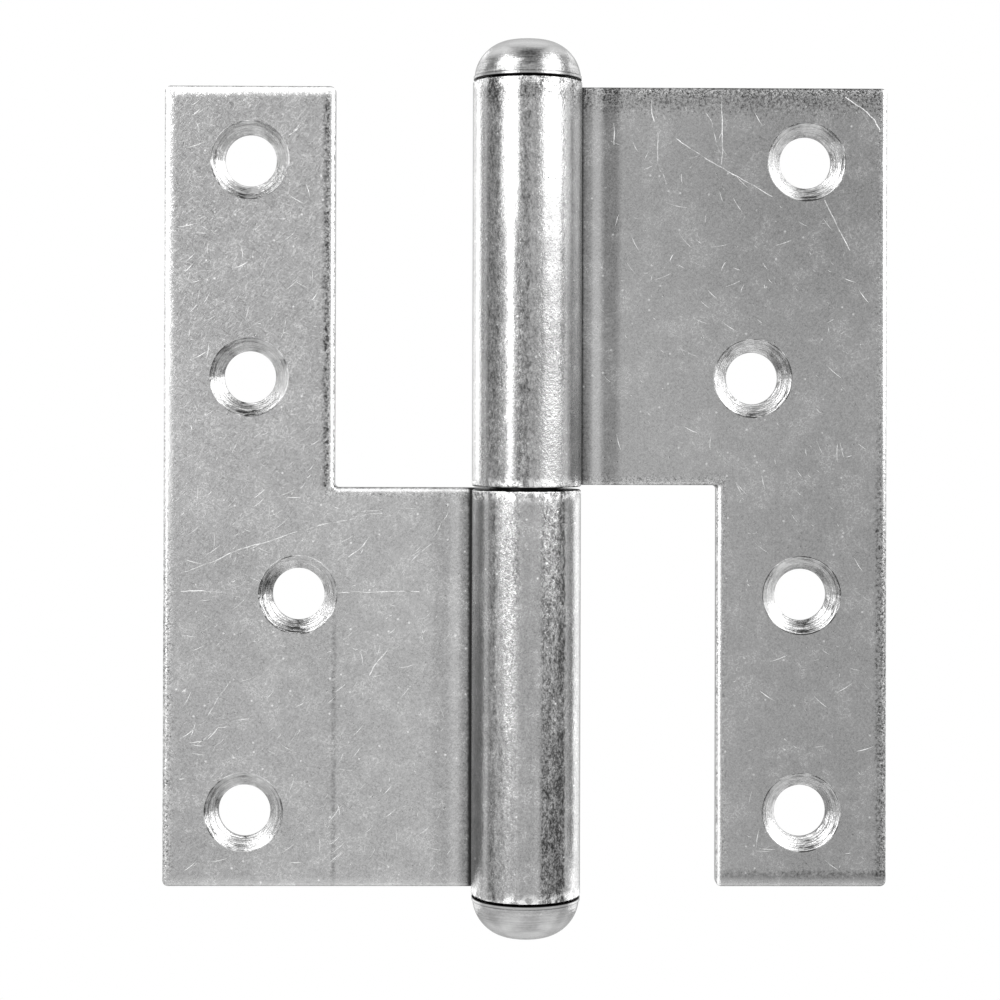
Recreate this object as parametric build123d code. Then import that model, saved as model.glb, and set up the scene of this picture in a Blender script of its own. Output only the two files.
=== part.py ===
from build123d import *
import math
import os

# Lift-off hinge. Millimetres, +Z up along the pin, the way the door leaf lifts.
# The origin is on the pin's axis, midway between the two knuckles' meeting ends.
# The leaves lie open in one plane, with their countersunk faces towards -Y.

# Pin, and the ball that the door leaf hangs on
pin_radius = 4.9
pin_lead_in = 1.0  # chamfer at the pin's top, which guides the knuckle on
pin_foot_chamfer = 0.5
pin_foot_gap = 0.3  # between the pin's foot and the bottom knob's stem
ball_radius = 4.0
ball_clearance = 0.05  # between the ball and each of its two dishes
dish_depth = 1.2

# Leaves, each one strip of sheet with its end rolled into a knuckle
sheet_thickness = 2.5
leaf_height = 110.5
leaf_reach = 50.0  # from the pin's axis to a leaf's outer edge
strip_width = 23.6  # the narrow half of the L
knuckle_gap = 0.4  # between the knuckles' meeting ends
seam_gap = 0.15  # from the rolled tip to the leaf that it comes back to
running_clearance = 0.05  # door knuckle's bore over the pin, on the radius
face_round = 0.65  # rolled edge of the countersunk face and of the bore's ends
back_round = 0.3  # edge of the back and of the knuckle's outside
corner_round = 0.8
notch_round = 0.6

# Screw holes, from the knuckle's end of a leaf to its strip's end
hole_pitch = 30.0
hole_radius = 3.6
countersink_radius = 5.35
countersink_angle = 90.0
edge_distances = (11.2, 18.6, 11.8, 11.8)  # from the leaf's outer edge to each hole

# Domed knobs, pressed into the outer end of each knuckle
lip_radius = 7.35
lip_height = 0.45
dome_radius = 7.25
dome_lean = 5.0  # degrees that the dome's foot leans in from upright
crown_radius = 16.0
head_height = 5.6  # from the lip's underside to the top of the dome
knob_stand_off = 0.2  # crevice between the lip and the knuckle's end
stem_length = 7.0  # inside the knuckle
stem_chamfer = 0.6

frame_bore = pin_radius
door_bore = pin_radius + running_clearance
knuckle_end = leaf_height / 2
knuckle_meet = knuckle_gap / 2
stem_end = knuckle_end - stem_length
dish_radius = ball_radius + ball_clearance
pin_top = stem_end - 2 * (dish_radius - dish_depth)
pin_foot = -stem_end + pin_foot_gap
ball_height = (stem_end + pin_top) / 2


def flat_blank(bore):
    """L-shaped flat of a leaf, from the curl's tangent line to its outer edge."""
    strip_edge = leaf_reach - strip_width
    outline = Polyline(
        (0, knuckle_meet),
        (strip_edge, knuckle_meet),
        (strip_edge, -knuckle_end),
        (leaf_reach, -knuckle_end),
        (leaf_reach, knuckle_end),
        (0, knuckle_end),
        close=True,
    )
    face = make_face(outline)
    corners = face.vertices().filter_by(lambda v: v.X > strip_edge / 2)
    notch = corners.sort_by_distance((strip_edge, knuckle_meet))[0]
    face = fillet([v for v in corners if v != notch], corner_round)
    notch = face.vertices().sort_by_distance((strip_edge, knuckle_meet))[0]
    face = fillet(notch, notch_round)
    back = Plane.XZ.offset(-(bore + sheet_thickness))
    blank = extrude(back * face, sheet_thickness)
    for index, radius in ((0, face_round), (-1, back_round)):
        side = blank.faces().filter_by(Axis.Y).sort_by(Axis.Y)[index]
        blank = fillet(side.edges().filter_by(lambda e: e.center().X > seam_gap), radius)
    return blank


def rolled_knuckle(bore):
    """Curl that leaves the flat at the back and comes round to just short of its front."""
    outer = bore + sheet_thickness
    section = Polyline(
        (bore, knuckle_meet),
        (outer, knuckle_meet),
        (outer, knuckle_end),
        (bore, knuckle_end),
        close=True,
    )
    face = make_face(section)
    for x, radius in ((bore, face_round), (outer, back_round)):
        ends = face.vertices().filter_by(lambda v: abs(v.X - x) < back_round / 2)
        face = fillet(ends, radius)
    tip = math.degrees(math.asin((bore - seam_gap) / outer))
    return revolve(Plane.YZ * face, axis=Axis.Z, revolution_arc=270 + tip)


def screw_cutter(bore):
    """Countersunk hole on the leaf's front face, wide end towards -Y."""
    depth = (countersink_radius - hole_radius) / math.tan(math.radians(countersink_angle / 2))
    up = (Align.CENTER, Align.CENTER, Align.MIN)
    hole = Cylinder(hole_radius, 2 * sheet_thickness, align=up)
    cone = Cone(countersink_radius, hole_radius, depth, align=up)
    return Plane((0, bore, 0), x_dir=(1, 0, 0), z_dir=(0, 1, 0)) * (hole + cone)


def leaf(bore):
    """Door leaf at the right, its knuckle above the middle."""
    part = flat_blank(bore) + rolled_knuckle(bore)
    cutter = screw_cutter(bore)
    for row, edge_distance in enumerate(edge_distances):
        height = hole_pitch * ((len(edge_distances) - 1) / 2 - row)
        part -= Pos(leaf_reach - edge_distance, 0, height) * cutter
    return part


def knob(bore):
    """Domed plug at the top: stem, thin lip, rounded shoulder and flatter crown."""
    underside = knuckle_end + knob_stand_off
    dome_foot = underside + lip_height
    apex = underside + head_height
    crown_z = apex - crown_radius
    # the shoulder's arc starts at the foot with the dome's lean and runs into the crown's arc
    lean = math.radians(dome_lean)
    out, up = math.cos(lean), math.sin(lean)
    foot_height = dome_foot - crown_z
    reach = dome_radius * out + foot_height * up
    shoulder_radius = (crown_radius**2 - dome_radius**2 - foot_height**2) / (2 * (crown_radius - reach))
    shoulder_x = dome_radius - shoulder_radius * out
    shoulder_z = dome_foot - shoulder_radius * up
    spread = math.degrees(math.atan2(shoulder_x, shoulder_z - crown_z))
    profile = [
        Polyline(
            (0, apex),
            (0, stem_end),
            (bore - stem_chamfer, stem_end),
            (bore, stem_end + stem_chamfer),
            (bore, underside),
            (lip_radius, underside),
            (lip_radius, dome_foot),
            (dome_radius, dome_foot),
        ),
        CenterArc((shoulder_x, shoulder_z), shoulder_radius, dome_lean, 90 - spread - dome_lean),
        CenterArc((0, crown_z), crown_radius, 90 - spread, spread),
    ]
    return revolve(Plane.XZ * make_face(profile), axis=Axis.Z)


def ball_dish():
    return Pos(0, 0, ball_height) * Sphere(dish_radius)


def hinge_pin():
    """Plain pin, pressed into the frame knuckle and dished at the top for the ball."""
    profile = Polyline(
        (0, pin_foot),
        (pin_radius - pin_foot_chamfer, pin_foot),
        (pin_radius, pin_foot + pin_foot_chamfer),
        (pin_radius, pin_top - pin_lead_in),
        (pin_radius - pin_lead_in, pin_top),
        (0, pin_top),
        close=True,
    )
    return revolve(Plane.XZ * make_face(profile), axis=Axis.Z) - ball_dish()


def turned_over(part):
    """The same piece for the other half, turned half a turn about Y."""
    return Rot(0, 180, 0) * part


nodes = {
    "frame_leaf": turned_over(leaf(frame_bore)),
    "door_leaf": leaf(door_bore),
    "hinge_pin": hinge_pin(),
    "bearing_ball": Pos(0, 0, ball_height) * Sphere(ball_radius),
    "top_knob": knob(door_bore) - ball_dish(),
    "bottom_knob": turned_over(knob(frame_bore)),
}

os.makedirs("parts", exist_ok=True)
for name, part in nodes.items():
    export_step(part, f"parts/{name}.step")
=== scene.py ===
import math

import bpy
from mathutils import Matrix, Vector


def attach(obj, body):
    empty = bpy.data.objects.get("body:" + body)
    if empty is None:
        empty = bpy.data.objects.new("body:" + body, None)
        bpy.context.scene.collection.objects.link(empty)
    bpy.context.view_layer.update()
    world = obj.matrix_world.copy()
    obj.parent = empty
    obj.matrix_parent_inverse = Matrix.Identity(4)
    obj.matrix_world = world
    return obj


# A steel lift-off hinge, bright zinc plated, seen square on with its leaves open.
# Everything is in metres in the hinge's own frame: the pin stands on Z, the leaves face -Y.

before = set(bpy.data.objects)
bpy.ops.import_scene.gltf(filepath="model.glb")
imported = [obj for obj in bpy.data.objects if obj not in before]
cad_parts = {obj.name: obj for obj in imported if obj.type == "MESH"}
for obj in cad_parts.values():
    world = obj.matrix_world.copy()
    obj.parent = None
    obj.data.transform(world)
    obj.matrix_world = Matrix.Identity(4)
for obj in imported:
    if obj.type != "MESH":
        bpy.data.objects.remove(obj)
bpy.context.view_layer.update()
mm = 0.001
print("hinge solids in:", ", ".join(sorted(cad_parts)))


class Wire:
    # one output of a node, so that sums on it add Math nodes
    def __init__(self, sheet, socket):
        self.sheet = sheet
        self.socket = socket

    def maths(self, operation, *others):
        values = dict(enumerate((self,) + others))
        kind = "ShaderNodeMath"
        return self.sheet.add(kind, {"operation": operation}, values)[0]

    def __add__(self, other):
        return self.maths("ADD", other)

    __radd__ = __add__

    def __mul__(self, other):
        return self.maths("MULTIPLY", other)

    __rmul__ = __mul__

    def __sub__(self, other):
        return self.maths("SUBTRACT", other)

    def __rsub__(self, other):
        return (self * -1.0).maths("ADD", other)

    def __truediv__(self, other):
        return self.maths("DIVIDE", other)

    def lower(self, other):
        return self.maths("MINIMUM", other)

    def higher(self, other):
        return self.maths("MAXIMUM", other)

    def ramp(self, start, end, low=0.0, high=1.0):
        # eases from low to high while the value goes from start to end
        settings = {"interpolation_type": "SMOOTHSTEP", "clamp": True}
        values = {0: self, 1: start, 2: end, 3: low, 4: high}
        return self.sheet.add("ShaderNodeMapRange", settings, values)[0]

    def fade(self, start, end):
        # one up to start, nought from end on
        return self.ramp(start, end, 1.0, 0.0)

    def size(self):
        return self.maths("ABSOLUTE")

    def clamped(self):
        return self.higher(0.0).lower(1.0)


class Made:
    # a node just added; made[0] or made["Color"] is that output as a Wire
    def __init__(self, sheet, node):
        self.sheet = sheet
        self.node = node

    def __getitem__(self, key):
        return Wire(self.sheet, self.node.outputs[key])


class Sheet:
    # a node tree being drawn up
    def __init__(self, tree):
        self.tree = tree
        tree.nodes.clear()

    def add(self, kind, settings=None, values=None):
        node = self.tree.nodes.new(kind)
        for name, setting in (settings or {}).items():
            setattr(node, name, setting)
        for key, value in (values or {}).items():
            socket = node.inputs[key]
            if isinstance(value, Wire):
                self.tree.links.new(value.socket, socket)
            else:
                socket.default_value = value
        return Made(self, node)


def millimetres(sheet):
    # the point on the piece, in millimetres, and its three coordinates
    coordinates = sheet.add("ShaderNodeTexCoord")
    values = {0: coordinates["Object"], "Scale": 1000.0}
    spot = sheet.add("ShaderNodeVectorMath", {"operation": "SCALE"}, values)[0]
    parts = sheet.add("ShaderNodeSeparateXYZ", None, {0: spot})
    return spot, parts[0], parts[1], parts[2]


def vectorOf(sheet, x, y, z):
    return sheet.add("ShaderNodeCombineXYZ", None, {0: x, 1: y, 2: z})[0]


def noise(sheet, spot, scale, detail=3.0, roughness=0.5):
    values = {
        "Vector": spot,
        "Scale": scale,
        "Detail": detail,
        "Roughness": roughness,
    }
    return sheet.add("ShaderNodeTexNoise", None, values)[0]


def specks(sheet, spot, scale, size, share):
    # small round spots: about this share of the cells has one
    cells = sheet.add("ShaderNodeTexVoronoi", None, {"Vector": spot, "Scale": scale})
    chosen = sheet.add("ShaderNodeSeparateColor", None, {0: cells["Color"]})[0]
    inside = cells["Distance"].fade(size * 0.4, size)
    return inside * chosen.ramp(1.0 - share, 1.0 - share * 0.8)


def blendColours(sheet, factor, first, second):
    values = {0: factor, 6: first, 7: second}
    return sheet.add("ShaderNodeMix", {"data_type": "RGBA"}, values)[2]


def greyOf(level):
    return (level, level, level, 1.0)


def metalTone(sheet, level, tone, darkest):
    # a level of a half gives the tone itself, and nought the darkest grey
    lightest = greyOf(tone * 2.0 - darkest)
    return blendColours(sheet, level.clamped(), greyOf(darkest), lightest)


def distance(across, along):
    return (across * across + along * along).maths("POWER", 0.5)


def angleRound(x, y):
    # the angle round the pin's line, nought straight in front
    return x.maths("ARCTAN2", y * -1.0)


def finishMetal(sheet, colour, roughness, height, depth):
    # the shader of every metal here; height feeds only the Bump node
    bump = sheet.add("ShaderNodeBump", None, {"Distance": depth, "Height": height})
    values = {
        "Base Color": colour,
        "Roughness": roughness,
        "Metallic": 1.0,
        "Normal": bump[0],
        "Specular Tint": greyOf(0.6),
    }
    shader = sheet.add("ShaderNodeBsdfPrincipled", None, values)
    sheet.add("ShaderNodeOutputMaterial", None, {"Surface": shader[0]})


def newMaterial(name):
    material = bpy.data.materials.new(name)
    material.use_nodes = True
    return material, Sheet(material.node_tree)


def newNodeGroup(name, inputs):
    # a Geometry Nodes tree with these named inputs: (name, socket type, default)
    tree = bpy.data.node_groups.new(name, "GeometryNodeTree")
    sheet = Sheet(tree)
    sockets = tree.interface
    sockets.new_socket("Geometry", in_out="INPUT", socket_type="NodeSocketGeometry")
    sockets.new_socket("Geometry", in_out="OUTPUT", socket_type="NodeSocketGeometry")
    for label, kind, default in inputs:
        socket = sockets.new_socket(label, in_out="INPUT", socket_type=kind)
        if default is not None:
            socket.default_value = default
    return sheet


def unitGrid(sheet, across, up):
    # a grid one metre wide and high, and its points' coordinates
    values = {"Size X": 1.0, "Size Y": 1.0, "Vertices X": across, "Vertices Y": up}
    grid = sheet.add("GeometryNodeMeshGrid", None, values)
    place = sheet.add("GeometryNodeInputPosition")
    return grid, sheet.add("ShaderNodeSeparateXYZ", None, {0: place[0]})


def paintAndReturn(sheet, shape, finish):
    # the end of every tree: real geometry, in its material
    real = sheet.add("GeometryNodeRealizeInstances", None, {0: shape[0]})
    values = {"Geometry": real[0], "Material": finish}
    painted = sheet.add("GeometryNodeSetMaterial", None, values)
    sheet.add("NodeGroupOutput", None, {0: painted[0]})


def growPiece(base, sheet, name, chosen, body):
    # runs the tree on the base, keeps the result as one plain mesh and lets it ride
    modifier = base.modifiers.new("grow", "NODES")
    modifier.node_group = sheet.tree
    for item in sheet.tree.interface.items_tree:
        if item.name in chosen and item.in_out == "INPUT":
            modifier[item.identifier] = chosen[item.name]
    bpy.context.view_layer.update()
    graph = bpy.context.evaluated_depsgraph_get()
    mesh = bpy.data.meshes.new_from_object(base.evaluated_get(graph))
    base.modifiers.remove(modifier)
    bpy.data.objects.remove(base)
    mesh.name = name
    piece = bpy.data.objects.new(name, mesh)
    bpy.context.scene.collection.objects.link(piece)
    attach(piece, body)
    print("  made", name, "with", len(mesh.polygons), "faces")


def newBase(name, points, faces=()):
    mesh = bpy.data.meshes.new(name)
    mesh.from_pydata(points, [], list(faces))
    base = bpy.data.objects.new(name, mesh)
    bpy.context.scene.collection.objects.link(base)
    return base


cameraView = {
    "place": (-7.779, -330.76, 12.0),  # mm
    "pitch": -0.00589,
    "yaw": 0.01248,
    "roll": 0.00282,
    "focalPixels": 2430.9,
    "imageSize": 1000.0,
    "sensor": 36.0,
    "shift": -0.115,  # of the lens, downwards
    "nearest": 0.01,
    "farthest": 20.0,
}


def placeCamera(view):
    pitch = Matrix.Rotation(view["pitch"], 3, "X")
    yaw = Matrix.Rotation(view["yaw"], 3, "Z")
    roll = Matrix.Rotation(view["roll"], 3, "Y")
    right, forward, up = pitch @ yaw @ roll  # rows
    data = bpy.data.cameras.new("front camera")
    data.sensor_width = view["sensor"]
    data.lens = view["focalPixels"] / view["imageSize"] * view["sensor"]
    data.shift_y = view["shift"]
    data.clip_start = view["nearest"]
    data.clip_end = view["farthest"]
    camera = bpy.data.objects.new("front camera", data)
    bpy.context.scene.collection.objects.link(camera)
    turned = Matrix((right, up, -forward)).transposed()
    place = Matrix.Translation(Vector(view["place"]) * mm)
    camera.matrix_world = place @ turned.to_4x4()
    bpy.context.scene.camera = camera


placeCamera(cameraView)
print("camera placed")


studio = {
    "fill": 0.45,  # what the white surround gives to matt surfaces
    "floorHeight": -0.25,
    "floorRadius": 0.5,
    "floorSides": 96,
    "floorGrey": 0.82,
    "floorRoughness": 0.7,
    "floorFade": (0.35, 0.95),  # shares of the radius where it goes over into white
    "boxes": {
        # name: degrees round from the front, degrees up, distance, width, height, level
        "left box": (-38.0, 14.0, 0.6, 0.28, 0.36, 4.5),
        "high left box": (-54.0, 43.0, 0.6, 0.42, 0.30, 4.5),
        "right box": (54.0, 17.0, 0.6, 0.46, 0.30, 4.5),
        "high right box": (66.0, 43.0, 0.6, 0.42, 0.30, 4.5),
        "rear left box": (-138.0, 4.0, 0.6, 0.48, 0.70, 1.8),
        "rear right box": (130.0, 4.0, 0.6, 0.52, 0.70, 1.8),
    },
}


def seenDirectly(sheet):
    # one for camera, mirror and glass rays, nought for the light on matt surfaces
    path = sheet.add("ShaderNodeLightPath")
    seen = path["Is Camera Ray"] + path["Is Glossy Ray"]
    return (seen + path["Is Transmission Ray"]).lower(1.0)


def paintSurround(level):
    world = bpy.data.worlds.new("white surround")
    world.use_nodes = True
    sheet = Sheet(world.node_tree)
    white = (1.0, 1.0, 1.0, 1.0)
    fill = sheet.add("ShaderNodeBackground", None, {"Color": white, "Strength": level})
    plain = sheet.add("ShaderNodeBackground", None, {"Color": white, "Strength": 1.0})
    values = {0: seenDirectly(sheet), 1: fill[0], 2: plain[0]}
    mixed = sheet.add("ShaderNodeMixShader", None, values)
    sheet.add("ShaderNodeOutputWorld", None, {"Surface": mixed[0]})
    bpy.context.scene.world = world


def layFloor(look):
    # a round pale floor well under the hinge, going over into the white at its rim
    material, sheet = newMaterial("pale floor")
    x, y = millimetres(sheet)[1:3]
    reach = distance(x, y) / (look["floorRadius"] / mm)
    grey = greyOf(look["floorGrey"])
    values = {"Base Color": grey, "Roughness": look["floorRoughness"]}
    matt = sheet.add("ShaderNodeBsdfPrincipled", None, values)
    white = sheet.add("ShaderNodeEmission", None, {"Strength": 1.0})
    fade = reach.ramp(*look["floorFade"]) * seenDirectly(sheet)
    mixed = sheet.add("ShaderNodeMixShader", None, {0: fade, 1: matt[0], 2: white[0]})
    sheet.add("ShaderNodeOutputMaterial", None, {"Surface": mixed[0]})
    count = look["floorSides"]
    radius = look["floorRadius"]
    points = []
    for step in range(count):
        turn = 2.0 * math.pi * step / count
        points.append((radius * math.cos(turn), radius * math.sin(turn), 0.0))
    floor = newBase("floor", points, [tuple(range(count))])
    floor.location.z = look["floorHeight"]
    floor.data.materials.append(material)


def hangBoxes(look):
    for name, (around, rise, away, width, height, level) in look["boxes"].items():
        lamp = bpy.data.lights.new(name, "AREA")
        lamp.shape = "RECTANGLE"
        lamp.size = width
        lamp.size_y = height
        lamp.energy = level * math.pi * width * height
        box = bpy.data.objects.new(name, lamp)
        bpy.context.scene.collection.objects.link(box)
        turn, lift = math.radians(around), math.radians(rise)
        flat = math.cos(lift)
        centre = Vector(
            (math.sin(turn) * flat, -math.cos(turn) * flat, math.sin(lift))
        )
        box.location = centre * away
        box.rotation_euler = (-centre).to_track_quat("-Z", "Y").to_euler()
        box.visible_camera = False


paintSurround(studio["fill"])
layFloor(studio)
hangBoxes(studio)
bpy.context.scene.view_settings.view_transform = "Standard"
print("studio ready")


# sizes in mm that the finish and the small pieces follow, the same for both leaves
leafShape = {
    "halfWidth": 50.0,
    "halfHeight": 55.25,
    "stripEdge": 26.4,  # inner edge of the tall strip
    "notchEdge": 0.2,  # end of the knuckle above or below the middle
    "knuckleRadius": 7.4,
    "sheet": 2.5,
}

# the door leaf is the same leaf, half turned, so its turn is -1
frameLeafLook = {
    "turn": 1.0,
    "face": 4.9,  # mm behind the pin's line
    "tone": 0.405,  # the metal's middle grey
    "innerLift": 0.02,  # painted light: how much lighter the flat is towards the knuckle
    "knuckleDrop": 0.04,
    "rollBands": [
        # painted reflections, along the bend in mm: from, to, how much darker, how much
        # coarser
        (-9.2, -6.9, 0.09, 0.0),
        (-6.6, -6.1, -0.10, 0.0),
        (-5.8, -4.5, 0.18, 0.5),
        (-4.5, -1.3, 0.00, 0.5),
        (1.8, 4.3, 0.12, 1.1),
        (4.3, 5.5, 0.24, 1.1),
    ],
    "streaks": [
        # painted reflections in runs along the bend from, to; then two heights and how much
        # darker at each
        (-4.5, -3.2, -45.0, -20.0, 0.05, -0.04),
        (-3.2, -1.2, -24.0, -8.0, -0.10, 0.11),
        (1.8, 4.6, -48.0, -6.0, 0.08, -0.08),
    ],
    "edgeReach": (0.4, 1.5),  # mm from the outer edge where its painted highlight fades
    "outerEdge": (0.10, 0.95),  # how much painted highlight each rounded edge gets, low and high up
    "endEdges": (0.10, 1.0),
    "notchSide": 0.95,
    "notchEnd": 0.75,
    "outerShade": 0.0,  # painted shade: how much darker the band inside an edge is
    "notchShade": 0.30,
    "bottomShade": 0.0,
    "dieLine": 0.12,
    "topDull": 0.0,
    "topShade": 0.03,
    "lowShade": 0.0,
    "bendBands": 0.05,  # painted light and shade: a light and a dark band along the knuckle
    "strokes": 0.17,
    "markDensity": 195000.0,  # to the square metre
    "markWidth": 0.10,
    "sinkDark": 0.15,  # painted shade: the dark sector of the countersinks
    "roughness": 0.21,
}

doorLeafLook = {
    "turn": -1.0,
    "face": 4.95,
    "tone": 0.312,
    "innerLift": 0.13,
    "knuckleDrop": -0.05,
    "rollBands": [
        (-8.8, -6.4, -0.32, 0.2),
        (-6.1, -4.0, 0.20, 0.8),
        (-1.3, 0.2, 0.04, 1.2),
        (0.2, 1.6, -0.04, 0.7),
        (5.8, 9.0, 0.06, 0.2),
    ],
    "streaks": [
        (-3.8, -2.8, 32.0, 42.0, 0.30, 0.0),
        (-2.0, -1.2, 32.0, 42.0, 0.26, -0.25),
        (1.7, 5.4, 11.0, 18.0, 0.0, 0.22),
        (1.7, 5.4, 32.0, 46.0, 0.0, -0.20),
        (5.2, 6.4, 25.0, 36.0, -0.15, -0.42),
    ],
    "edgeReach": (0.2, 0.8),
    "outerEdge": (0.0, 0.95),
    "endEdges": (0.10, 0.0),
    "notchSide": 0.95,
    "notchEnd": 0.10,
    "outerShade": 0.14,
    "notchShade": 0.0,
    "bottomShade": 0.16,
    "dieLine": 0.0,
    "topDull": 0.16,
    "topShade": 0.08,
    "lowShade": 0.16,
    "bendBands": 0.16,
    "strokes": 0.06,
    "markDensity": 100000.0,
    "markWidth": 0.09,
    "sinkDark": 0.08,
    "roughness": 0.20,
}

leafLooks = {"frame_side": frameLeafLook, "door_side": doorLeafLook}

# what both leaves' zinc is made of, worked in mm
zincMake = {
    # noises: scale, detail, roughness
    "clouds": (0.05, 2.0, 0.5),
    "grain": (2.4, 4.0, 0.6),
    "fine": (6.0, 2.0, 0.5),
    "worn": (0.28, 3.0, 0.6),
    "chafed": (0.8, 2.0, 0.5),
    "drawn": (2.5, 4.0, 0.7),
    "runs": (1.2, 3.0, 0.5),
    "drag": (4.0, 3.0, 0.6),
    # specks: scale, size, share of the cells
    "bright": (0.75, 0.16, 0.35),
    "pits": (1.1, 0.14, 0.25),
    # crooked scuffs: scale, width
    "pale": (1.7, 0.035),
    "deep": (2.2, 0.035),
    "cracks": (1.9, 0.05),
    # straight scuffs: degrees from level, scale along and across, noise that shows
    "litWays": (38.0, 64.0, -12.0),
    "dugWays": (50.0, -40.0),
    "strokeScale": (0.75, 4.2),
    "strokeShows": (0.60, 0.70),
    # between these depths, in Y, the rounded front edge goes over into the side
    "frontEdge": (5.25, 5.55),
    # painted shade and light beside the roll, in mm from the pin's line; a band starts, is
    # full, fades, ends
    "crevice": (7.65, 8.15),
    "shadow": (8.0, 9.6),
    "lightBand": (8.8, 9.4, 9.9, 10.5),
    "darkBand": (10.2, 11.0, 12.2, 13.4),
    "bandSoftness": 0.35,
    "darkest": 0.04,
    "edgeGrey": 0.95,
    "creviceGrey": 0.03,
    "bumpDepth": 0.03,
}


def scuffs(sheet, spot, scale, width):
    # thin crooked lines, where a noise passes through its middle
    value = noise(sheet, spot, scale, 2.0, 0.6)
    return (value - 0.5).size().fade(width * 0.3, width)


def strokes(sheet, x, z, ways, seed):
    # short straight scuffs, for each way in a plane of its own that the seed picks
    lengthwise, crosswise = zincMake["strokeScale"]
    laid = 0.0
    for step, degrees in enumerate(ways):
        turn = math.radians(degrees)
        forward = (x * math.cos(turn) + z * math.sin(turn)) * lengthwise
        aside = (z * math.cos(turn) - x * math.sin(turn)) * crosswise
        spot = vectorOf(sheet, forward, aside, (seed + step) * 7.3)
        value = noise(sheet, spot, 1.0, 2.0).ramp(*zincMake["strokeShows"])
        laid = value.higher(laid)
    return laid


def stretch(along, start, stop, soft):
    # one between start and stop, with soft ends
    return along.ramp(start - soft, start + soft) * along.fade(stop - soft, stop + soft)


class LeafPlace:
    # where a point of a leaf lies: how far inside each edge, how far round the knuckle
    def __init__(self, sheet, look, shape):
        self.spot, x, y, z = millimetres(sheet)
        self.x, self.y, self.z = x, y, z
        self.side = x * -look["turn"]
        self.fromSide = shape["halfWidth"] - x.size()
        self.fromEnd = shape["halfHeight"] - z.size()
        self.fromTop = shape["halfHeight"] - z
        self.fromStrip = self.side - shape["stripEdge"]
        self.fromNotch = z * -look["turn"] - shape["notchEdge"]
        self.beyondStrip = self.fromNotch.fade(-0.4, 0.2)
        self.besideNotch = self.fromStrip.fade(-0.4, 0.2)
        outer = self.fromSide.lower(self.fromEnd)
        self.inset = outer.lower(self.fromStrip.higher(self.fromNotch))
        self.cut = self.inset.fade(0.005, 0.03)
        self.front = y.fade(*zincMake["frontEdge"])
        self.radius = distance(x, y)
        self.bend = angleRound(x, y) * shape["knuckleRadius"]
        self.flat = self.radius.ramp(shape["knuckleRadius"] + 0.15, 9.0)
        self.knuckle = 1.0 - self.flat


class ZincGrain:
    # the noises that several parts of a leaf's zinc share
    def __init__(self, sheet, spot):
        self.clouds = noise(sheet, spot, *zincMake["clouds"]) - 0.5
        self.grain = noise(sheet, spot, *zincMake["grain"]) - 0.5
        self.fine = noise(sheet, spot, *zincMake["fine"]) - 0.5
        self.both = self.grain + self.fine
        self.worn = noise(sheet, spot, *zincMake["worn"])
        self.pits = specks(sheet, spot, *zincMake["pits"])


def paintedEdgeHighlights(at, zinc, look):
    # painted highlight: the rounded edges painted white where they would catch the light,
    # inside a thin grey outline
    rough = zinc.both * 1.5 + (zinc.worn - 0.5) * 0.7
    share = at.z.ramp(-25.0, 32.0, *look["outerEdge"])
    share = (share + zinc.both * (1.0 - share) * 0.7).higher(0.0)
    sharp, faded = look["edgeReach"]
    white = (at.fromSide + rough * faded * 0.7).fade(sharp, faded) * share
    ends = (at.fromEnd + rough).fade(0.6, 1.6) * at.z.ramp(-1.0, 1.0, *look["endEdges"])
    strip = (at.fromStrip + rough * 0.5).fade(0.35, 0.75) * at.beyondStrip
    notch = (at.fromNotch + rough * 0.5).fade(0.3, 0.75) * at.besideNotch
    inner = (strip * look["notchSide"]).higher(notch * look["notchEnd"])
    outline = (at.inset + zinc.grain * 0.3).ramp(0.05, 0.24)
    white = white.higher(ends).higher(inner) * at.front * at.flat
    return (white * (zinc.grain * 0.5 + 0.92) * outline).clamped()


def edgeShades(at, zinc, look):
    # painted shade in darker bands just inside some edges, and the line that the shearing
    # die left
    outer = stretch(at.fromSide + zinc.grain * 1.6, 0.1, 1.5, 0.4) * at.z.fade(-8.0, 20.0)
    bottom = stretch(at.fromEnd + zinc.grain * 1.6, 1.0, 2.1, 0.4) * at.z.fade(-1.0, 1.0)
    fromStrip = at.fromStrip + zinc.grain * 0.4
    strip = stretch(fromStrip, 0.75, 1.5, 0.55) * at.beyondStrip
    line = fromStrip.size().fade(0.1, 0.5) * at.fromNotch.ramp(15.0, 22.0)
    shades = outer * look["outerShade"] + bottom * look["bottomShade"]
    shades = shades + strip * look["notchShade"] + line * look["dieLine"]
    return shades * at.front * (1.0 - zinc.grain * 4.0)


def broadShades(at, zinc, look):
    # painted light and shade: the flat lighter towards the knuckle and darker towards the
    # top, and a duller band along the top edge
    lighter = at.side.fade(14.0, 42.0) * look["innerLift"]
    darker = at.z.ramp(10.0, 48.0) * look["topShade"]
    band = (at.fromTop + zinc.grain * 6.0).fade(1.5, 4.2)
    return (lighter - darker) * at.flat - band * (0.9 - zinc.both * 5.0) * look["topDull"]


def flatScuffs(sheet, at, zinc, look):
    # pale scuffs where the zinc is worn, dark ones elsewhere, and rubbed-in strokes
    scuffed = zinc.worn.ramp(0.46, 0.62)
    pale = scuffs(sheet, at.spot, *zincMake["pale"])
    deep = scuffs(sheet, vectorOf(sheet, at.z, at.x, at.y), *zincMake["deep"])
    lit = strokes(sheet, at.x, at.z, zincMake["litWays"], 1.0)
    dug = strokes(sheet, at.x, at.z, zincMake["dugWays"], 4.0)
    rubbed = at.z.ramp(-12.0, 20.0, 0.4, 1.0) * at.flat * look["strokes"]
    level = scuffed * pale * 0.22 - (1.0 - scuffed) * deep * 0.14
    return level + (lit - dug * 0.7) * rubbed


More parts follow.
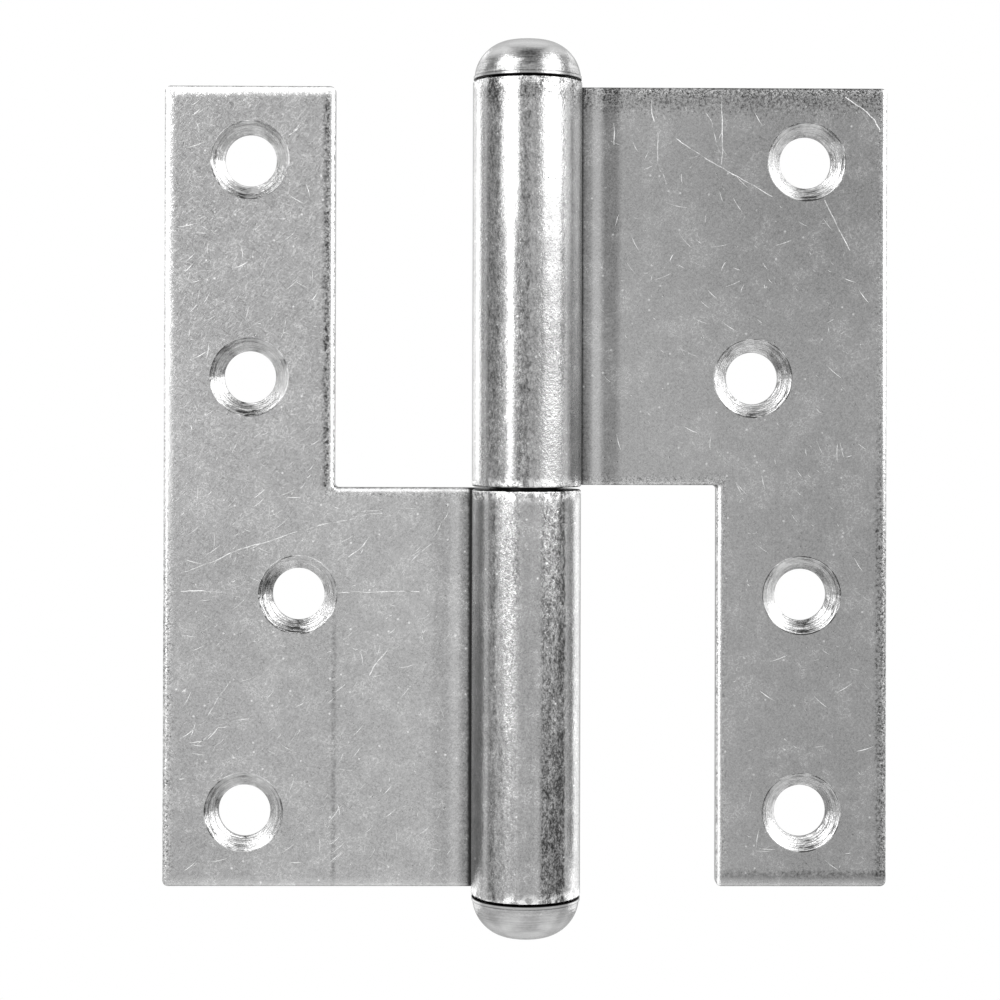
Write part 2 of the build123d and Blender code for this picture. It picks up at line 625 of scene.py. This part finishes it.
def edgeWear(sheet, at, zinc):
    # speckled wear along the edges, and the drag marks of the cut faces
    edge = (at.inset + zinc.grain * 1.4 + (zinc.worn - 0.5) * 1.2).fade(0.4, 1.8)
    rim = at.inset.fade(0.02, 0.22) * at.y.fade(5.4, 5.8)
    chafed = noise(sheet, at.spot, *zincMake["chafed"]).ramp(0.44, 0.58)
    speckled = zinc.both * (1.0 - at.knuckle * 0.4) * at.z.ramp(-53.5, -52.5)
    speckled = speckled + at.knuckle * chafed * 0.6
    spot = vectorOf(sheet, at.x, at.y * 0.12, at.z)
    drag = noise(sheet, spot, *zincMake["drag"]) - 0.5
    level = edge * (1.0 - at.cut) * speckled - rim * 0.20
    level = level + at.cut * (drag * 0.9 - at.y.ramp(5.8, 6.2) * 0.14)
    return edge, level


def rolledGrainAndReflections(sheet, at, look):
    # the knuckle: drawn along the pin by the rolling, with painted reflections over it in
    # coarser bands and runs, darker or lighter
    soft = zincMake["bandSoftness"]
    rolled = vectorOf(sheet, at.bend, at.radius, at.z * 0.55)
    drawn = noise(sheet, rolled, *zincMake["drawn"]) - 0.5
    spot = vectorOf(sheet, at.bend, at.radius, at.z * 0.04)
    runs = noise(sheet, spot, *zincMake["runs"]) - 0.5
    cracks = scuffs(sheet, rolled, *zincMake["cracks"])
    edging = at.bend + drawn * 1.2
    level = drawn * 0.10 + runs * 0.15 - look["knuckleDrop"]
    # painted reflections: bands round the roll, darker or lighter
    for start, stop, drop, coarse in look["rollBands"]:
        texture = cracks * coarse * 0.2 - drawn * coarse
        level = level - stretch(edging, start, stop, soft) * (texture + drop)
    # painted reflections: runs that grow darker or lighter with height
    for start, stop, lowest, highest, below, above in look["streaks"]:
        drop = at.z.ramp(lowest, highest, below, above)
        level = level - stretch(edging, start, stop, soft) * drop
    return drawn, level * at.knuckle


def rollFoot(at, zinc, look):
    # painted shade, near black, in the crevice where the roll comes back to the flat and at
    # the knuckle ends, and painted light and shade in the bands beside it
    side = at.side
    near = at.y.ramp(3.9, 4.7) * at.y.fade(5.6, 6.3) * side.ramp(4.6, 5.4)
    # painted shade: near black in the crevice, and at the knuckle ends where the parts meet
    crevice = near * (side + zinc.grain * 0.5).fade(*zincMake["crevice"])
    ends = at.inset.fade(0.03, 0.12) * at.radius.fade(7.5, 7.9)
    shadow = near * side.fade(*zincMake["shadow"])
    light, dark = [
        side.ramp(start, full) * side.fade(fading, end)
        for start, full, fading, end in (zincMake["lightBand"], zincMake["darkBand"])
    ]
    # painted light and shade in the bands, and painted shadow right beside the roll
    level = (light - dark * 1.5) * near * look["bendBands"]
    level = level - shadow * (at.z.fade(4.0, 32.0) * look["lowShade"] + 0.24)
    return crevice.higher(ends), level


def leafZinc(name, look, shape):
    # bright zinc on rolled sheet: scuffed flats, worn edges, a grainy drawn roll, with
    # painted highlights, reflections and shade over them
    material, sheet = newMaterial(name)
    at = LeafPlace(sheet, look, shape)
    zinc = ZincGrain(sheet, at.spot)
    edge, wear = edgeWear(sheet, at, zinc)
    drawn, roll = rolledGrainAndReflections(sheet, at, look)
    crevice, foot = rollFoot(at, zinc, look)
    # painted glints: small specks painted lighter than the zinc round them
    bright = specks(sheet, at.spot, *zincMake["bright"])

    level = zinc.clouds * 0.10 + zinc.grain * 0.28 + zinc.fine * 0.30 + 0.5
    level = level + bright * 0.45 - zinc.pits * 0.35
    # roll carries the knuckle's painted reflections, foot the painted light and shade
    # beside the roll
    level = level + flatScuffs(sheet, at, zinc, look) + wear + roll + foot
    level = level + broadShades(at, zinc, look) - edgeShades(at, zinc, look)
    metal = metalTone(sheet, level, look["tone"], zincMake["darkest"])
    # painted highlight: the rounded edges blended towards near white
    white = paintedEdgeHighlights(at, zinc, look)
    metal = blendColours(sheet, white, metal, greyOf(zincMake["edgeGrey"]))
    # painted shade: near black in the crevice beside the roll and at the knuckle ends
    colour = blendColours(sheet, crevice, metal, greyOf(zincMake["creviceGrey"]))

    roughness = (zinc.clouds + zinc.grain) * 0.10 + edge * 0.08
    roughness = roughness - at.knuckle * 0.03 + look["roughness"]
    height = zinc.grain * 0.9 + zinc.fine * 0.5 - zinc.pits * 0.6
    height = height + at.knuckle * drawn * 0.7 + edge * zinc.grain * 1.6
    finishMetal(sheet, colour, roughness, height * at.front, zincMake["bumpDepth"] * mm)
    return material


topKnobLook = {
    "tone": 0.27,
    "darkest": 0.05,
    "wear": 0.9,
    "roughness": 0.20,
    "ringPitch": 0.42,  # mm between turning rings
    "gapEdge": 55.62,  # painted shade: the underside is near black up to this height
    "gapGrey": 0.004,
    "lipEdge": 55.92,  # a fine dark line where lip and dome meet
    "spot": (0.4, 58.0),  # painted shade: a dark spot on the dome's front, x and z in mm
    "spotSize": (1.3, 1.2),
    "spotDrop": 0.30,
    # painted light: the dome's sides and crown go towards a light grey: x and heights in mm
    "flankReach": (1.2, 3.4),
    "flankRise": (57.4, 59.0),
    "crownRise": (58.5, 60.0),
    "leftShare": 0.65,
    "rightShare": 0.60,
    "crownShare": 0.68,
    "flankLift": 1.0,
    "flankGrey": 0.90,
    # painted shade: a darker arc at each side, just above the lip: its x at a height, and
    # its lean
    "arcPlace": (4.7, 57.0, 0.55),
    "arcWidth": (0.2, 0.9),
    "arcRise": (56.2, 56.8),
    "arcDrop": 0.16,
    "bumpDepth": 0.02,
}

# the same knob, turned over, less worn, and painted lighter for the pale ground it reflects
# from below
bottomKnobLook = dict(topKnobLook, tone=0.38, wear=0.3)
bottomKnobLook.update(spotDrop=0.10, flankLift=0.4, arcDrop=0.10)


def domeLightAndShade(x, y, along, turned, look):
    # painted light and shade on the dome: how much darker, and how far towards the light
    # grey
    (spotX, spotZ), (wide, tall) = look["spot"], look["spotSize"]
    aside = (x - spotX) / wide
    above = (along - spotZ) / tall
    reach = distance(aside, above) + turned * 1.5
    spot = reach.fade(0.4, 1.5) * y.fade(-1.0, 1.0) * look["spotDrop"]
    arcX, arcZ, lean = look["arcPlace"]
    arc = (x.size() + (along - arcZ) * lean - arcX).size().fade(*look["arcWidth"])
    arc = arc * along.ramp(*look["arcRise"]) * look["arcDrop"]
    near, far = look["flankReach"]
    flanks = x.ramp(near, far) * look["rightShare"]
    flanks = flanks + x.ramp(-near, -far) * look["leftShare"]
    flanks = flanks * along.ramp(*look["flankRise"])
    crown = along.ramp(*look["crownRise"]) * look["crownShare"]
    return spot + arc, flanks.higher(crown) * look["flankLift"]


def turnedZinc(name, look):
    # zinc on turned steel: fine rings round the pin line, a dark line at the lip, painted
    # shade under it and painted light and shade on the dome
    material, sheet = newMaterial(name)
    spot, x, y, z = millimetres(sheet)
    radius = distance(x, y)
    along = z.size()
    wobble = noise(sheet, spot, 0.35, 2.0) - 0.5
    grain = noise(sheet, spot, 3.0, 4.0, 0.6) - 0.5
    around = vectorOf(sheet, along, radius, angleRound(x, y) * 0.8)
    turned = noise(sheet, around, 2.6, 4.0, 0.7) - 0.5
    turns = (radius + z * 0.6 + wobble * 0.05) * (2.0 * math.pi / look["ringPitch"])
    rings = turns.maths("SINE") * 0.5
    bright = specks(sheet, spot, 1.0, 0.15, 0.3)
    lip = (along - look["lipEdge"] + grain * 0.10).size().fade(0.03, 0.12)
    # painted shade: near black below the gap edge, where knob and knuckle meet
    under = along.fade(look["gapEdge"] - 0.12, look["gapEdge"])
    # painted shade in a spot and two arcs, painted light towards a light grey on the flanks
    # and crown
    darker, lighter = domeLightAndShade(x, y, along, turned, look)

    level = wobble * 0.30 + rings * 0.05 + bright * 0.3 - lip * 0.30 + 0.5
    level = level + (grain * 0.7 + turned * 1.2) * look["wear"] - darker
    metal = metalTone(sheet, level, look["tone"], look["darkest"])
    metal = blendColours(sheet, lighter, metal, greyOf(look["flankGrey"]))
    colour = blendColours(sheet, under, metal, greyOf(look["gapGrey"]))
    roughness = (grain + wobble) * 0.10 + look["roughness"]
    height = rings * 0.3 + grain * 1.6
    finishMetal(sheet, colour, roughness, height, look["bumpDepth"] * mm)
    return material


pinLook = {
    "radius": 4.9,
    "greys": (0.16, 0.55),
    "greaseReach": (0.9, 2.2),  # mm from the middle, where the knuckles meet
    "greaseGrey": 0.01,
    "roughness": 0.25,
    "bumpDepth": 0.01,
}


def pinSteel(name, look):
    # the bare pin, ground along its length, painted near black where the knuckles meet as
    # painted shade in the gap
    material, sheet = newMaterial(name)
    spot, x, y, z = millimetres(sheet)
    bend = angleRound(x, y) * look["radius"]
    ground = noise(sheet, vectorOf(sheet, bend, z * 0.05, 0.0), 3.0, 4.0, 0.6) - 0.5
    clouds = noise(sheet, spot, 0.15, 3.0) - 0.5
    # painted shade: near black in the gap between the knuckles
    middleShade = (z.size() + clouds * 2.0).fade(*look["greaseReach"])
    level = ground * 0.5 + clouds * 0.3 + 0.5
    dark, light = look["greys"]
    steel = blendColours(sheet, level.clamped(), greyOf(dark), greyOf(light))
    colour = blendColours(sheet, middleShade, steel, greyOf(look["greaseGrey"]))
    roughness = (clouds + ground) * 0.1 + look["roughness"]
    finishMetal(sheet, colour, roughness, ground, look["bumpDepth"] * mm)
    return material


ballLook = {
    "greys": (0.45, 0.75),
    "roughness": 0.08,
    "bumpDepth": 0.003,
}


def ballSteel(name, look):
    # the polished ball under a thin smear of oil
    material, sheet = newMaterial(name)
    spot = millimetres(sheet)[0]
    smears = noise(sheet, spot, 0.9, 4.0, 0.55) - 0.5
    dark, light = look["greys"]
    level = smears * 1.6 + 0.5
    colour = blendColours(sheet, level.clamped(), greyOf(dark), greyOf(light))
    roughness = smears * 0.10 + look["roughness"]
    finishMetal(sheet, colour, roughness, smears, look["bumpDepth"] * mm)
    return material


finishes = {
    "frame_leaf": leafZinc("frame leaf zinc", frameLeafLook, leafShape),
    "door_leaf": leafZinc("door leaf zinc", doorLeafLook, leafShape),
    "top_knob": turnedZinc("top knob zinc", topKnobLook),
    "bottom_knob": turnedZinc("bottom knob zinc", bottomKnobLook),
    "hinge_pin": pinSteel("pin steel", pinLook),
    "bearing_ball": ballSteel("ball steel", ballLook),
}
for nodeName, finish in finishes.items():
    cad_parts[nodeName].material_slots[0].material = finish
print("finishes on", len(finishes), "solids")


# the tool marks in the countersinks, and the ring it left on the face, in mm
sinkRings = {
    "bore": 3.6,
    "rim": 5.35,
    "proud": 0.015,  # how far the ringed skin stands off the cone
    "ringDepth": 0.020,
    "rings": 6.0,
    "burrWidth": 0.14,
    "burrHeight": 0.012,
    "tone": 0.45,
    "darkest": 0.05,
    "burrDrop": 0.22,
    "roughness": 0.30,
    "bumpDepth": 0.05,
    "seed": 5,
    # painted light and shade in sectors round a hole, in degrees from the pin's side: from,
    # to, softness
    "darkSector": (120.0, 220.0, 5.0),
    "sharpStart": (-112.0, -84.0, 6.0),
    "tornPatch": (-220.0, -136.0, 5.0),
    "lightSector": (-66.0, -12.0, 8.0),
    # on the frame leaf, x and z
    "holes": [(-38.8, -45.0), (-31.4, -15.0), (-38.2, 15.0), (-38.2, 45.0)],
}


def countersinkTree():
    # a skin for each point: the cone with its rings, then the low burr outside the rim
    inputs = [
        ("Bore", "NodeSocketFloat", 0.0036),
        ("Rim", "NodeSocketFloat", 0.00535),
        ("Proud", "NodeSocketFloat", 0.00002),
        ("Ring depth", "NodeSocketFloat", 0.00002),
        ("Rings", "NodeSocketFloat", 6.0),
        ("Burr width", "NodeSocketFloat", 0.0004),
        ("Burr height", "NodeSocketFloat", 0.00003),
        ("Seed", "NodeSocketInt", 3),
        ("Finish", "NodeSocketMaterial", None),
    ]
    sheet = newNodeGroup("countersink rings", inputs)
    given = sheet.add("NodeGroupInput")
    grid, parts = unitGrid(sheet, 97, 33)

    # across the sheet runs round the hole, up it runs out over cone and then burr
    turn = (0.5 - parts[0]) * (2.0 * math.pi)
    outwards = parts[1] + 0.5
    coneShare = 0.8
    diagonal = 0.7071  # the cone slopes at 45 degrees
    cone = (outwards / coneShare).lower(1.0)
    burr = ((outwards - coneShare) / (1.0 - coneShare)).higher(0.0)
    slope = given["Rim"] - given["Bore"]
    wave = (cone * given["Rings"] * (2.0 * math.pi)).maths("SINE")
    inside = burr.fade(0.0, 0.3)
    stand = given["Proud"] + (wave * 0.5 + 0.5) * given["Ring depth"] * inside
    stand = stand * diagonal * inside
    radius = given["Bore"] + slope * cone + given["Burr width"] * burr - stand
    depth = slope * (1.0 - cone) - stand
    hump = (burr * math.pi).maths("SINE") * given["Burr height"]
    foot = burr.ramp(0.8, 1.0) * (0.01 * mm)  # its outer rim goes into the face
    depth = depth - hump + foot
    sideways = turn.maths("COSINE") * radius
    upwards = turn.maths("SINE") * radius
    point = vectorOf(sheet, sideways, depth, upwards)
    values = {"Geometry": grid[0], "Position": point}
    bent = sheet.add("GeometryNodeSetPosition", None, values)
    values = {0: bent[0], "Distance": 0.002 * mm}
    closed = sheet.add("GeometryNodeMergeByDistance", None, values)
    smooth = sheet.add("GeometryNodeSetShadeSmooth", None, {0: closed[0]})
    settings = {"data_type": "FLOAT"}
    values = {2: 0.0, 3: 2.0 * math.pi, "Seed": given["Seed"]}
    spin = sheet.add("FunctionNodeRandomValue", settings, values)[1]
    values = {
        "Points": given["Geometry"],
        "Instance": smooth[0],
        "Rotation": vectorOf(sheet, 0.0, spin, 0.0),
    }
    placed = sheet.add("GeometryNodeInstanceOnPoints", None, values)
    paintAndReturn(sheet, placed, given["Finish"])
    return sheet


def holeAngle(x, z, turn, holes):
    # degrees round the nearest hole from its side towards the pin
    middleX, middleZ = holes[0]
    for (x0, z0), (x1, z1) in zip(holes, holes[1:]):
        passed = (z * turn).maths("GREATER_THAN", (z0 + z1) / 2.0)
        middleX = passed * (x1 - x0) + middleX
        middleZ = passed * (z1 - z0) + middleZ
    right = x * turn - middleX
    up = z - middleZ * turn
    return up.maths("ARCTAN2", right) * (180.0 / math.pi)


def sinkZinc(name, look, size):
    # cut zinc: rings round each hole's own middle, smeared unevenly round the cone, with
    # painted light and shade in sectors round it
    material, sheet = newMaterial(name)
    spot, x, y, z = millimetres(sheet)
    grain = noise(sheet, spot, 2.6, 4.0, 0.65) - 0.5
    fine = noise(sheet, spot, 7.0, 2.0) - 0.5
    patches = noise(sheet, spot, 0.33, 1.0) - 0.5
    cut = noise(sheet, vectorOf(sheet, y, patches, 0.0), 5.5, 2.0) - 0.5
    level = (patches + cut) * 0.9 + grain * 0.5 + fine * 0.3 + 0.5

    # painted shade and light round each hole: a dark sector, a darker sharp-edged sector, a
    # lighter patchy sector at the foot and a light sector
    turned = holeAngle(x, z, look["turn"], size["holes"]) + patches * 25.0 + grain * 14.0
    level = level - stretch(turned, *size["darkSector"]) * look["sinkDark"]
    level = level - stretch(turned, *size["sharpStart"]) * (0.15 - cut * 1.6)
    level = level + stretch(turned, *size["tornPatch"]) * (cut * 1.5 + 0.12)
    level = level + stretch(turned, *size["lightSector"]) * 0.10
    burr = y.fade(look["face"] - 0.008, look["face"] + 0.02)
    level = level - burr * size["burrDrop"]
    colour = metalTone(sheet, level, size["tone"], size["darkest"])
    roughness = (grain + patches) * 0.15 + size["roughness"]
    height = (grain + cut) * 1.5
    finishMetal(sheet, colour, roughness, height, size["bumpDepth"] * mm)
    return material


def cutCountersinks(sheet, body, look, size):
    name = "countersinks_" + body
    turn = look["turn"]
    points = [(x * turn * mm, look["face"] * mm, z * turn * mm) for x, z in size["holes"]]
    chosen = {
        "Bore": size["bore"] * mm,
        "Rim": size["rim"] * mm,
        "Proud": size["proud"] * mm,
        "Ring depth": size["ringDepth"] * mm,
        "Rings": size["rings"],
        "Burr width": size["burrWidth"] * mm,
        "Burr height": size["burrHeight"] * mm,
        "Seed": size["seed"],
        "Finish": sinkZinc(name + " zinc", look, size),
    }
    growPiece(newBase(name, points), sheet, name, chosen, body)


ringTree = countersinkTree()
for body, look in leafLooks.items():
    cutCountersinks(ringTree, body, look, sinkRings)
print("countersinks cut")


# short marks that handling left on both faces of each leaf, in mm
handlingMarks = {
    "cell": 1.25,
    "edgeMargin": 2.0,
    "holeMargin": 1.8,
    "knuckleEdge": -9.5,  # no marks from this x on
    "length": 1.9,
    "slant": -0.70,  # radians, most of them rise to the right
    "spread": 1.35,
    "proud": 0.008,
    "rearShare": 0.7,
    "seeds": {"front": 7, "rear": 27},
    "taper": 3.8,
    "bow": 5.0,
    "shortest": 0.25,  # shares of the length
    "longest": 1.35,
}


def marksTree(size):
    inputs = [
        ("Density", "NodeSocketFloat", 40000.0),
        ("Length", "NodeSocketFloat", 0.0015),
        ("Width", "NodeSocketFloat", 0.00005),
        ("Slant", "NodeSocketFloat", -0.7),
        ("Spread", "NodeSocketFloat", 1.2),
        ("Facing", "NodeSocketFloat", math.pi / 2.0),
        ("Seed", "NodeSocketInt", 1),
        ("Finish", "NodeSocketMaterial", None),
    ]
    sheet = newNodeGroup("handling marks", inputs)
    given = sheet.add("NodeGroupInput")
    grid, parts = unitGrid(sheet, 7, 2)

    # a ribbon with pointed ends, slightly bowed
    taper = 1.0 - parts[0] * parts[0] * size["taper"]
    bow = parts[0] * parts[0] * size["bow"]
    point = vectorOf(sheet, parts[0], (parts[1] + 0.3) * taper - 0.2 + bow, 0.0)
    values = {"Geometry": grid[0], "Position": point}
    ribbon = sheet.add("GeometryNodeSetPosition", None, values)
    values = {
        "Mesh": given["Geometry"],
        "Density": given["Density"],
        "Seed": given["Seed"],
    }
    spread = sheet.add("GeometryNodeDistributePointsOnFaces", None, values)

    def chance(low, high, seed):
        values = {2: low, 3: high, "Seed": given["Seed"] + float(seed)}
        settings = {"data_type": "FLOAT"}
        return sheet.add("FunctionNodeRandomValue", settings, values)[1]

    lean = chance(-1.0, 1.0, 11)
    lean = lean * lean.size() * given["Spread"] + given["Slant"]
    luck = chance(0.0, 1.0, 12)
    longer = luck * luck * luck * 1.9 + size["shortest"]
    longer = longer.lower(size["longest"]) * given["Length"]
    wider = (luck * 0.6 + chance(0.2, 0.7, 13)) * given["Width"]
    values = {
        "Points": spread[0],
        "Instance": ribbon[0],
        "Rotation": vectorOf(sheet, given["Facing"], lean, 0.0),
        "Scale": vectorOf(sheet, longer, wider, 1.0),
    }
    placed = sheet.add("GeometryNodeInstanceOnPoints", None, values)
    paintAndReturn(sheet, placed, given["Finish"])
    return sheet


scratchLook = {
    "greys": (0.24, 0.85),
    "roughness": 0.35,
    "bumpDepth": 0.02,
}


def scratchZinc(name, look):
    # metal laid open by a scratch: brighter than the plating round it
    material, sheet = newMaterial(name)
    spot = millimetres(sheet)[0]
    grain = noise(sheet, spot, 3.0, 3.0, 0.6) - 0.5
    fading = noise(sheet, spot, 0.4, 2.0) - 0.5
    level = grain * 1.4 + fading * 3.0 + 0.55
    dark, light = look["greys"]
    colour = blendColours(sheet, level.clamped(), greyOf(dark), greyOf(light))
    roughness = grain * 0.2 + look["roughness"]
    finishMetal(sheet, colour, roughness, grain, look["bumpDepth"] * mm)
    return material


def isClear(x, z, shape, size):
    # whether a cell centred here lies well inside the flat of the frame leaf
    margin = size["edgeMargin"]
    if x < margin - shape["halfWidth"] or x > size["knuckleEdge"]:
        return False
    if abs(z) > shape["halfHeight"] - margin:
        return False
    inStrip = x < -shape["stripEdge"] - margin
    if not inStrip and z > -shape["notchEdge"] - margin:
        return False
    away = min(math.hypot(x - a, z - b) for a, b in sinkRings["holes"])
    return away >= sinkRings["rim"] + size["holeMargin"]


def leafCells(turn, shape, size, y):
    # small squares over the flat of a leaf, clear of its edges and holes
    cell = size["cell"]
    half = cell / 2.0
    corners = ((-half, -half), (half, -half), (half, half), (-half, half))
    points, faces = [], []
    for column in range(int(2 * shape["halfWidth"] / cell)):
        for row in range(int(2 * shape["halfHeight"] / cell)):
            x = -shape["halfWidth"] + half + column * cell
            z = -shape["halfHeight"] + half + row * cell
            if not isClear(x, z, shape, size):
                continue
            first = len(points)
            for dx, dz in corners:
                points.append(((x + dx) * turn * mm, y * mm, (z + dz) * turn * mm))
            faces.append((first, first + 1, first + 2, first + 3))
    return points, faces


def spreadMarks(sheet, body, look, size, finish):
    rear = look["face"] + leafShape["sheet"]
    sides = {"front": (look["face"], -1.0, 1.0), "rear": (rear, 1.0, size["rearShare"])}
    for side, (plane, outwards, share) in sides.items():
        name = "marks_" + side + "_" + body
        y = plane + outwards * size["proud"]
        points, cells = leafCells(look["turn"], leafShape, size, y)
        chosen = {
            "Density": look["markDensity"] * share,
            "Length": size["length"] * mm,
            "Width": look["markWidth"] * mm,
            "Slant": size["slant"] * look["turn"],
            "Spread": size["spread"],
            "Facing": -outwards * math.pi / 2.0,
            "Seed": size["seeds"][side] + int(look["turn"]),
            "Finish": finish,
        }
        base = newBase(name, points, cells)
        growPiece(base, sheet, name, chosen, body)


scratched = scratchZinc("scratched zinc", scratchLook)
marks = marksTree(handlingMarks)
for body, look in leafLooks.items():
    spreadMarks(marks, body, look, handlingMarks, scratched)
print("handling marks spread")


# the long scratches, each a run of points (x, z) on the face, in mm
longScratches = {
    "width": 0.12,
    "step": 0.35,
    "proud": 0.010,
    "wander": 0.5,  # breadth of the shaky hand's wandering
    "seed": 2,
    "frame_side": [
        [(-46.2, -11.6), (-42.8, -10.3), (-39.4, -8.7), (-35.2, -7.6), (-31.1, -6.2)]
        + [(-27.7, -5.3), (-24.2, -4.6), (-21.8, -3.9), (-19.8, -3.8)],
        [(-48.8, -14.6), (-45.0, -14.5), (-41.8, -14.6)],
        [(-25.8, -14.7), (-20.0, -14.55), (-14.6, -14.5)],
        [(-43.7, -31.7), (-42.2, -29.0), (-40.6, -26.9)],
        [(-21.6, -26.2), (-20.4, -24.2), (-18.9, -22.5)],
        [(-24.4, -9.8), (-22.8, -8.6), (-21.6, -7.1)],
        [(-17.0, -11.9), (-15.2, -9.8), (-13.0, -7.9)],
    ],
    "door_side": [
        [(20.5, 48.3), (22.6, 46.8), (25.6, 44.9), (29.5, 42.7), (34.0, 40.2)],
        [(44.1, 54.0), (46.4, 52.4), (48.2, 50.8), (48.9, 49.4)],
        [(41.3, 39.7), (42.8, 36.6), (43.8, 34.7), (44.8, 32.8)],
        [(27.0, 53.4), (27.05, 49.3), (27.0, 44.5)],
        [(18.15, 49.0), (18.16, 44.0), (19.0, 43.2), (19.4, 41.9)],
        [(12.0, 50.3), (12.1, 47.2)],
        [(17.3, 53.4), (17.4, 51.3), (17.7, 50.5)],
        [(24.7, 51.8), (25.6, 50.5), (26.2, 47.6), (26.6, 46.3)],
    ],
}


def longScratchTree(size):
    # a flat tapering ribbon along each line, drawn on the ground and then stood up
    inputs = [
        ("Width", "NodeSocketFloat", 0.0001),
        ("Step", "NodeSocketFloat", 0.0003),
        ("Face", "NodeSocketVector", None),
        ("Facing", "NodeSocketVector", None),
        ("Seed", "NodeSocketInt", 2),
        ("Finish", "NodeSocketMaterial", None),
    ]
    sheet = newNodeGroup("long scratches", inputs)
    given = sheet.add("NodeGroupInput")
    values = {"Curve": given["Geometry"], "Length": given["Step"]}
    settings = {"mode": "LENGTH"}
    even = sheet.add("GeometryNodeResampleCurve", settings, values)
    place = sheet.add("GeometryNodeInputPosition")
    values = {0: place[0], "Scale": 1000.0}
    spot = sheet.add("ShaderNodeVectorMath", {"operation": "SCALE"}, values)[0]
    rough = noise(sheet, spot, 0.9, 3.0, 0.6)
    values = {"Vector": spot, "W": given["Seed"], "Scale": 0.6}
    shaky = sheet.add("ShaderNodeTexNoise", {"noise_dimensions": "4D"}, values)
    values = {0: shaky["Color"], 1: (0.5, 0.5, 0.5)}
    middle = sheet.add("ShaderNodeVectorMath", {"operation": "SUBTRACT"}, values)
    stray = size["wander"] * mm
    values = {0: middle[0], 1: (stray, stray, 0.0)}
    drift = sheet.add("ShaderNodeVectorMath", {"operation": "MULTIPLY"}, values)
    values = {"Geometry": even[0], "Offset": drift[0]}
    drawn = sheet.add("GeometryNodeSetPosition", None, values)
    along = sheet.add("GeometryNodeSplineParameter")
    taper = (along["Factor"] * math.pi).maths("SINE").maths("POWER", 0.5)
    pressed = (rough * 3.0 - 0.6).higher(0.32)
    values = {"Curve": drawn[0], "Radius": taper * pressed}
    shaped = sheet.add("GeometryNodeSetCurveRadius", None, values)
    left = vectorOf(sheet, given["Width"] * -0.5, 0.0, 0.0)
    right = vectorOf(sheet, given["Width"] * 0.5, 0.0, 0.0)
    values = {"Start": left, "End": right}
    nib = sheet.add("GeometryNodeCurvePrimitiveLine", None, values)
    values = {"Curve": shaped[0], "Profile Curve": nib[0]}
    swept = sheet.add("GeometryNodeCurveToMesh", None, values)
    values = {
        "Geometry": swept[0],
        "Translation": given["Face"],
        "Rotation": given["Facing"],
    }
    stood = sheet.add("GeometryNodeTransform", None, values)
    paintAndReturn(sheet, stood, given["Finish"])
    return sheet


def drawLongScratches(sheet, body, look, size, finish):
    lines = bpy.data.curves.new("long scratches", "CURVE")
    lines.dimensions = "3D"
    for run in size[body]:
        spline = lines.splines.new("POLY")
        spline.points.add(len(run) - 1)
        for point, (x, z) in zip(spline.points, run):
            point.co = (x * mm, z * mm, 0.0, 1.0)
    base = bpy.data.objects.new("long scratches", lines)
    bpy.context.scene.collection.objects.link(base)
    chosen = {
        "Width": size["width"] * mm,
        "Step": size["step"] * mm,
        "Face": (0.0, (look["face"] - size["proud"]) * mm, 0.0),
        "Facing": (math.pi / 2.0, 0.0, 0.0),
        "Seed": size["seed"],
        "Finish": finish,
    }
    growPiece(base, sheet, "long_scratches_" + body, chosen, body)


lineTree = longScratchTree(longScratches)
for body, look in leafLooks.items():
    drawLongScratches(lineTree, body, look, longScratches, scratched)
print("long scratches drawn")
